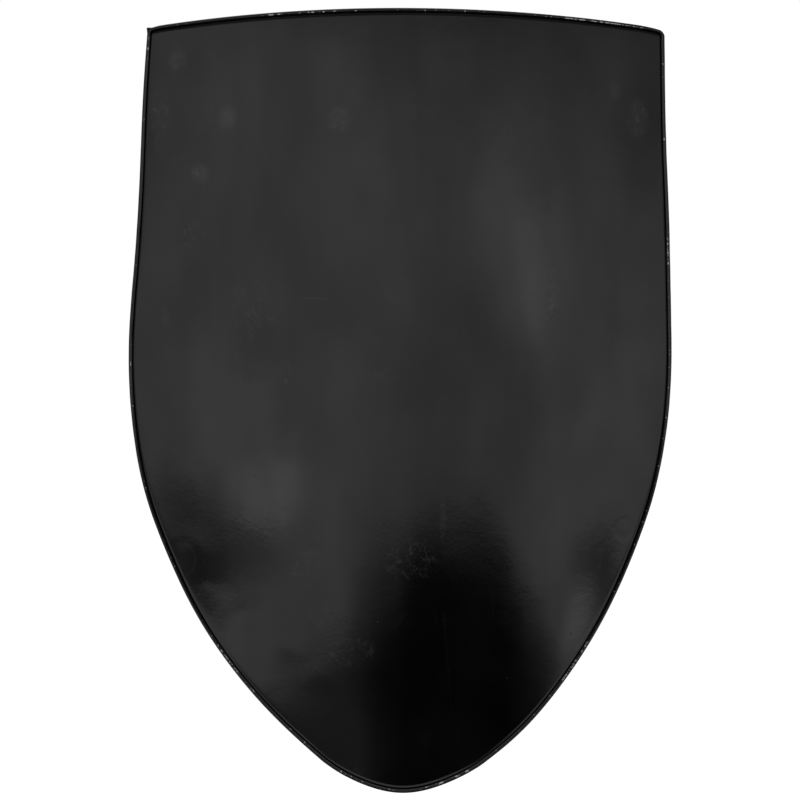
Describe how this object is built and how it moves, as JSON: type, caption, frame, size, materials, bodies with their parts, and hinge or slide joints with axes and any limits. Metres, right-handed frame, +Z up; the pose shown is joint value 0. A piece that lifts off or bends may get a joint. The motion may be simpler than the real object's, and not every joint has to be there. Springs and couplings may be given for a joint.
{
  "type": "heater shield",
  "caption": "Curved steel heater shield with a rolled wired rim, an adjustable buckled forearm strap and a hand strap on welded loops.",
  "frame": {"origin": "middle of the bearer's forearm, level with the middle of both straps, 56 mm behind the back of the plate on its centre line", "axes": "+Z up to the straight top edge, the painted face looks along -Y, +Y towards the bearer, +X to the picture's right, the bearer's left"},
  "size_m": [0.5032, 0.1285, 0.71],
  "materials": {
    "black_paint": "gloss black paint on sheet steel, orange peel, fine scratches, bare steel at chips on the rim",
    "rim_wire_steel": "steel wire, closed in by the rolled edge",
    "strap_leather": "waxed brown strap leather with burnished edges",
    "hand_leather": "waxed brown leather, worn smooth at the grip",
    "nickel_steel": "nickel-plated steel, lightly scuffed",
    "copper": "solid copper rivets and burrs, dulled"
  },
  "bodies": {
    "shield": {"arm_loop_lower": "black_paint", "arm_loop_upper": "black_paint", "buckle_strap": "strap_leather", "buckle_strap_left_heel_burr": "copper", "buckle_strap_left_heel_rivet": "copper", "buckle_strap_left_loop_burr": "copper", "buckle_strap_left_loop_rivet": "copper", "buckle_strap_right_heel_burr": "copper", "buckle_strap_right_heel_rivet": "copper", "buckle_strap_right_loop_burr": "copper", "buckle_strap_right_loop_rivet": "copper", "hand_loop_lower": "black_paint", "hand_loop_upper": "black_paint", "hand_strap": "hand_leather", "hand_strap_lower_left_burr": "copper", "hand_strap_lower_left_rivet": "copper", "hand_strap_lower_right_burr": "copper", "hand_strap_lower_right_rivet": "copper", "hand_strap_upper_left_burr": "copper", "hand_strap_upper_left_rivet": "copper", "hand_strap_upper_right_burr": "copper", "hand_strap_upper_right_rivet": "copper", "rim_wire": "rim_wire_steel", "shield_plate": "black_paint", "tongue_strap": "strap_leather", "tongue_strap_left_burr": "copper", "tongue_strap_left_rivet": "copper", "tongue_strap_right_burr": "copper", "tongue_strap_right_rivet": "copper"},
    "buckle": {"buckle_frame": "nickel_steel"},
    "roller": {"buckle_roller": "nickel_steel"},
    "prong": {"buckle_prong": "nickel_steel"},
    "keeper": {"strap_keeper": "strap_leather"}
  },
  "joints": [
    {"name": "buckle_pivot", "type": "hinge", "parent": "shield", "child": "buckle", "pos_m": [0.0845, 0.01206, 0.05755], "axis": [0.9849, 0.1729, 0], "range_deg": [0, 10]},
    {"name": "roller_spin", "type": "hinge", "parent": "buckle", "child": "roller", "pos_m": [0.0798, 0.03884, 0.05087], "axis": [0.9849, 0.1729, 0], "continuous": true},
    {"name": "prong_pivot", "type": "hinge", "parent": "buckle", "child": "prong", "pos_m": [0.0845, 0.01206, 0.05755], "axis": [0.9849, 0.1729, 0], "range_deg": [0, 15]},
    {"name": "keeper_slide", "type": "slide", "parent": "shield", "child": "keeper", "axis": [-0.149, 0.8486, -0.5075], "range_m": [-0.0045, 0.0045]}
  ]
}
